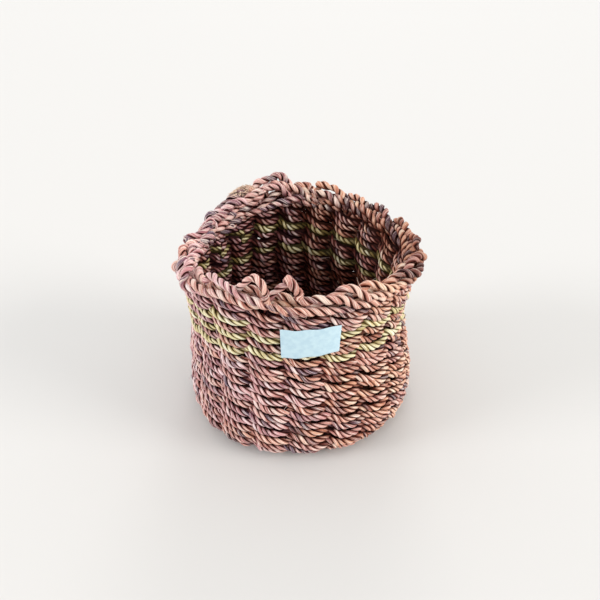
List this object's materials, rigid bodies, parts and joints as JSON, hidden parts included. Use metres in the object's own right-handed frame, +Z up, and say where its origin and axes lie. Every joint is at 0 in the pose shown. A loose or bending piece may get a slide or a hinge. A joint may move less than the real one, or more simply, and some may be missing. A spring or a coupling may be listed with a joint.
{
  "type": "twined rope basket",
  "caption": "Round open basket twined from plied rope over stakes that cross under the floor and fold into a looped border, with pale accent rows and a blank paper label.",
  "frame": {"origin": "centre of the basket's footprint, on the surface it stands on", "axes": "+Z up through the open mouth, -Y towards the labelled front"},
  "size_m": [0.2061, 0.206, 0.1616],
  "materials": {
    "stake_rope": "dry plied plant fibre rope, variegated dusty pink and terracotta",
    "pink_rope": "dry plied plant fibre rope, variegated dusty pink, terracotta and mauve",
    "accent_rope": "dry plied plant fibre rope, pale yellow-green",
    "paper": "thin matte paper tape, blank"
  },
  "bodies": {
    "root": {"stake_01": "stake_rope", "stake_02": "stake_rope", "stake_03": "stake_rope", "stake_04": "stake_rope", "stake_05": "stake_rope", "stake_06": "stake_rope", "stake_07": "stake_rope", "stake_08": "stake_rope", "stake_09": "stake_rope", "stake_10": "stake_rope", "floor_weft_a": "pink_rope", "lower_weft_1_a": "pink_rope", "lower_weft_2_a": "pink_rope", "lower_weft_3_a": "pink_rope", "lower_weft_4_a": "pink_rope", "accent_weft_lower_a": "accent_rope", "middle_weft_a": "pink_rope", "accent_weft_middle_a": "accent_rope", "shoulder_weft_a": "pink_rope", "accent_weft_upper_a": "accent_rope", "upper_weft_a": "pink_rope", "floor_weft_b": "pink_rope", "lower_weft_1_b": "pink_rope", "lower_weft_2_b": "pink_rope", "lower_weft_3_b": "pink_rope", "lower_weft_4_b": "pink_rope", "accent_weft_lower_b": "accent_rope", "middle_weft_b": "pink_rope", "accent_weft_middle_b": "accent_rope", "shoulder_weft_b": "pink_rope", "accent_weft_upper_b": "accent_rope", "upper_weft_b": "pink_rope", "paper_label": "paper"}
  },
  "joints": []
}
